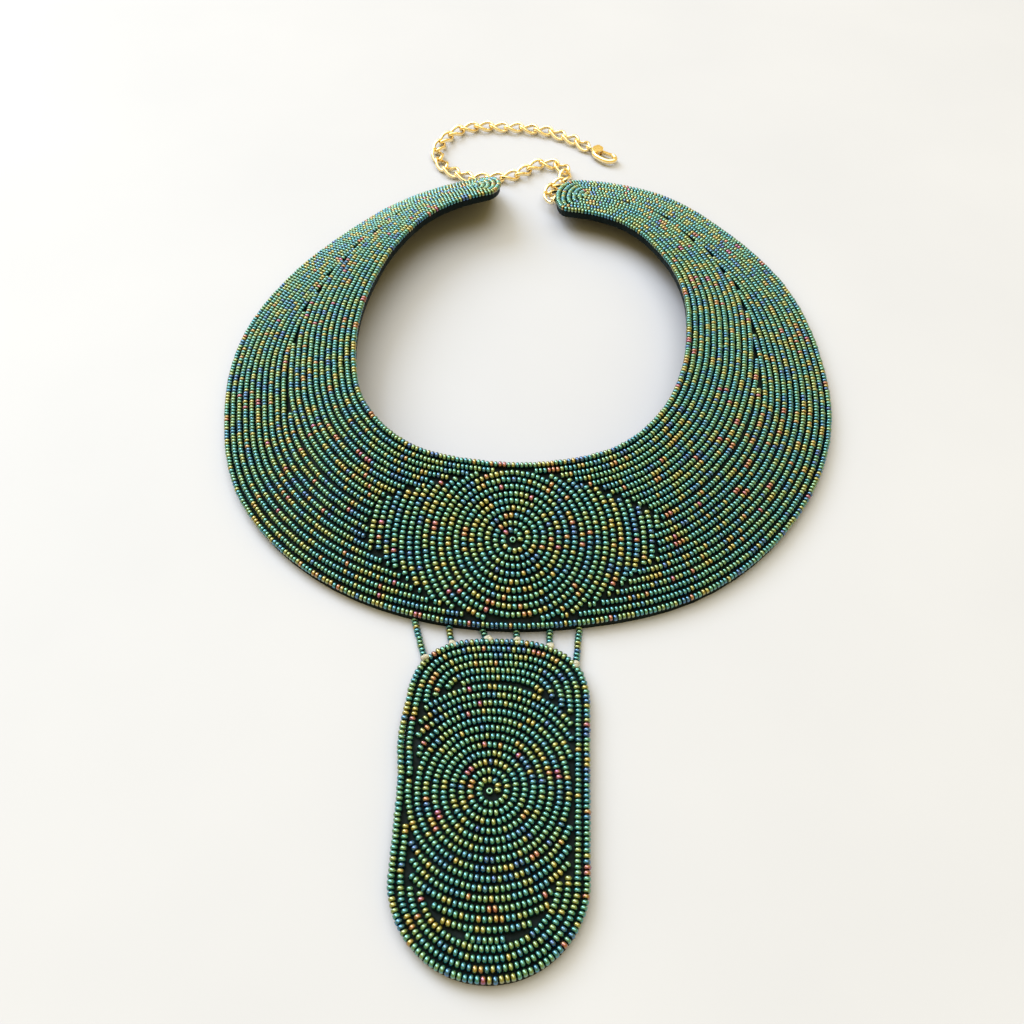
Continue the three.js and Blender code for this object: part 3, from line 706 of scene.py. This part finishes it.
def string_beads():
    """Beads along the straight line between each string's ends."""
    for number, ends in enumerate(STRINGS, start=1):
        start, end = string_ends(*ends)
        centre, way = beads_on_line(np.linspace(start, end, STRING_STEPS), STRING_BEAD_PITCH)
        place_beads(f"string_beads_{number}", [f"bead_strand_{number}"], centre, way,
                    np.tile(UPWARD, (len(centre), 1)), STRING_BEAD_RADIUS, STRING_BEAD_PITCH)


def lumpy_balls(centres, sizes):
    """Balls in one mesh: a sphere's two angles, its radius swelling with a wave of its own for each ball."""
    rings, sides = BALL_RINGS, BALL_SIDES
    polar, around = np.meshgrid(np.pi * np.arange(rings + 1) / rings, 2 * np.pi * np.arange(sides) / sides,
                                indexing="ij")
    sphere = np.stack([np.sin(polar) * np.cos(around), np.sin(polar) * np.sin(around), np.cos(polar)],
                      axis=-1)
    phase = rng.random((len(centres), 1, 1)) * 6
    swell = 1 + BALL_SWELL * np.sin(3 * around + 2 * polar + phase) * np.sin(polar) ** 2
    points = centres[:, None, None, :] + sphere * swell[..., None] * sizes[:, None, None, :]
    ring, side = np.meshgrid(np.arange(1, rings - 1), np.arange(sides), indexing="ij")
    after = (side + 1) % sides
    quads = np.stack([ring * sides + side, (ring + 1) * sides + side,
                      (ring + 1) * sides + after, ring * sides + after], axis=-1).reshape(-1, 4)
    side = np.arange(sides)
    after = (side + 1) % sides
    last = rings * sides
    top = np.stack([np.zeros_like(side), sides + side, sides + after], axis=-1)
    foot = np.stack([np.full_like(side, last), last - sides + after, last - sides + side], axis=-1)
    step = (np.arange(len(centres)) * (rings + 1) * sides)[:, None, None]
    triangles = np.concatenate([top, foot])
    return points, (quads[None] + step).reshape(-1, 4), (triangles[None] + step).reshape(-1, 3)


def thread_knots():
    """Nylon knots that tie the strings to the tab's first row, each of two lumps."""
    places = np.array([string_ends(*ends)[1] for ends in STRINGS]) + KNOT_SHIFT
    sizes = rng.uniform(0.85, 1.15, (len(places), 3)) * KNOT_SIZE
    lumps = places + rng.normal(0, LUMP_CHANCE, places.shape) + LUMP_SHIFT
    points, quads, triangles = lumpy_balls(np.concatenate([places, lumps]),
                                           np.concatenate([sizes, LUMP_SHARE * sizes]))
    knots = put_mesh("thread_knots", points, quads, nylon_finish(), triangles)
    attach(knots, "necklace")


def frames_along(ways):
    """Three ways for each link: ahead, level to its left, and up from both."""
    ahead = unit(ways)
    level = unit(np.stack([-ahead[:, 1], ahead[:, 0], np.zeros(len(ahead))], axis=-1))
    return np.stack([ahead, level, np.cross(ahead, level)], axis=1)


def wire_rings(centres, wire, face, squareness, sides):
    """Wire along closed lines of centres: at each place a squared oval across the line's way, the wire's
    width away from the line's own middle and the face's width beside it. Squareness 2 is an oval."""
    ahead = unit(np.roll(centres, -1, axis=1) - np.roll(centres, 1, axis=1))
    out = centres - centres.mean(axis=1, keepdims=True)
    out = unit(out - ahead * (out * ahead).sum(axis=-1, keepdims=True))
    side = np.cross(ahead, out)
    angle = 2 * np.pi * np.arange(sides) / sides
    across, beside = (np.sign(wave) * np.abs(wave) ** (2 / squareness)
                      for wave in (np.cos(angle), np.sin(angle)))
    return (centres[:, :, None, :] + wire / 2 * out[:, :, None, :] * across[:, None]
            + face / 2 * side[:, :, None, :] * beside[:, None])


def chain_and_rings():
    """The chain: each link's middle is that of its solid, and the joints lie halfway between the middles.
    A link is an oval whose width rolls by the twist, one way at its front and the other at its back.
    Then the two round rings sewn into the tips: one holds the first link, one the link behind the left
    tip."""
    middles = []
    for number in range(1, LINK_COUNT + 1):
        low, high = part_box(f"chain_link_{number:02d}")
        middles.append((np.array(low) + np.array(high)) * 500 - NECK)
    middles = np.array(middles)
    joints = np.empty((LINK_COUNT + 1, 3))
    joints[0] = CHAIN_START
    for number in range(LINK_COUNT):
        joints[number + 1] = 2 * middles[number] - joints[number]
    link_frames = frames_along(joints[1:] - joints[:-1])
    angle = 2 * np.pi * np.arange(WIRE_RINGS) / WIRE_RINGS
    twist = math.radians(LINK_TWIST)
    roll = twist * np.cos(angle)
    half_width = (LINK_WIDTH - LINK_WIRE) / 2
    oval = np.stack([LINK_LENGTH / 2 * np.cos(angle), half_width * np.sin(angle) * np.cos(roll),
                     half_width * np.sin(angle) * np.sin(roll)], axis=-1)
    lines = middles[:, None, :] + oval @ link_frames
    points = wire_rings(lines, LINK_WIRE, LINK_FACE, LINK_SQUARENESS, LINK_SIDES)
    chain = put_mesh("chain", points, grid_quads(LINK_COUNT, WIRE_RINGS, LINK_SIDES), GOLD)
    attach(chain, "necklace")
    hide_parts(*[f"chain_link_{number:02d}" for number in range(1, LINK_COUNT + 1)])

    upright = np.array([0, math.cos(twist), math.sin(twist)]) @ link_frames[0]
    first_way = link_frames[0, 0]
    passed = link_frames[LOOPED_LINK - 1, 1]
    held = middles[LOOPED_LINK - 1] + (LINK_WIDTH - LOOP_HOLD) / 2 * passed
    ring_lines = []
    for centre, first, second in ((joints[0] - CROSSING * first_way, first_way, upright),
                                  (held, passed, np.array(UPWARD))):
        across = unit(second - first * (second @ first))
        turned = np.cos(angle)[:, None] * first + np.sin(angle)[:, None] * across
        ring_lines.append(centre + LOOP_RADIUS * turned)
    points = wire_rings(np.array(ring_lines), LOOP_WIRE, LOOP_WIRE, 2, LOOP_SIDES)
    rings = put_mesh("tip_rings", points, grid_quads(len(ring_lines), WIRE_RINGS, LOOP_SIDES), GOLD)
    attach(rings, "necklace")


def soft_light(name, place, width, power, colour):
    """A round light of this width that faces the middle of the table."""
    data = bpy.data.lights.new(name, "AREA")
    data.shape = "DISK"
    data.size = width
    data.energy = power
    data.color = colour
    light = bpy.data.objects.new(name, data)
    light.location = place
    light.rotation_euler = (-Vector(place)).to_track_quat("-Z", "Y").to_euler()
    bpy.context.scene.collection.objects.link(light)


def table_and_room():
    """A pale table, and a room that sheds a warm light on it while its own walls look pale."""
    mesh = bpy.data.meshes.new("table")
    mesh.from_pydata([(-3, -3, 0), (3, -3, 0), (3, 3, 0), (-3, 3, 0)], [], [(0, 1, 2, 3)])
    mesh.materials.append(table_finish())
    floor = bpy.data.objects.new("table", mesh)
    bpy.context.scene.collection.objects.link(floor)

    world = bpy.data.worlds.new("room")
    bpy.context.scene.world = world
    world.use_nodes = True
    nodes, links = world.node_tree.nodes, world.node_tree.links
    warm, walls = nodes["Background"], nodes.new("ShaderNodeBackground")
    for light, colour, strength in ((warm, (1.0, 0.77, 0.30, 1), 0.72),
                                    (walls, (0.86, 0.87, 0.86, 1), 0.8)):
        light.inputs["Color"].default_value = colour
        light.inputs["Strength"].default_value = strength
    seen, either = nodes.new("ShaderNodeLightPath"), nodes.new("ShaderNodeMixShader")
    links.new(seen.outputs["Is Camera Ray"], either.inputs["Fac"])
    links.new(warm.outputs["Background"], either.inputs[1])
    links.new(walls.outputs["Background"], either.inputs[2])
    links.new(either.outputs["Shader"], nodes["World Output"].inputs["Surface"])
    bpy.context.scene.view_settings.view_transform = "Standard"
    bpy.context.scene.view_settings.look = "Medium High Contrast"


# The beads, the knots and the tones draw on one row of chances, so their order stays
collar_beads()
tab_beads()
string_beads()
thread_knots()
chain_and_rings()
table_and_room()
soft_light("window", (-2.7, 2.5, 2.9), width=3.4, power=154, colour=(0.77, 0.88, 1.0))
soft_light("ceiling", (0.0, 0.35, 2.6), width=3.2, power=45, colour=(0.90, 0.96, 1.0))
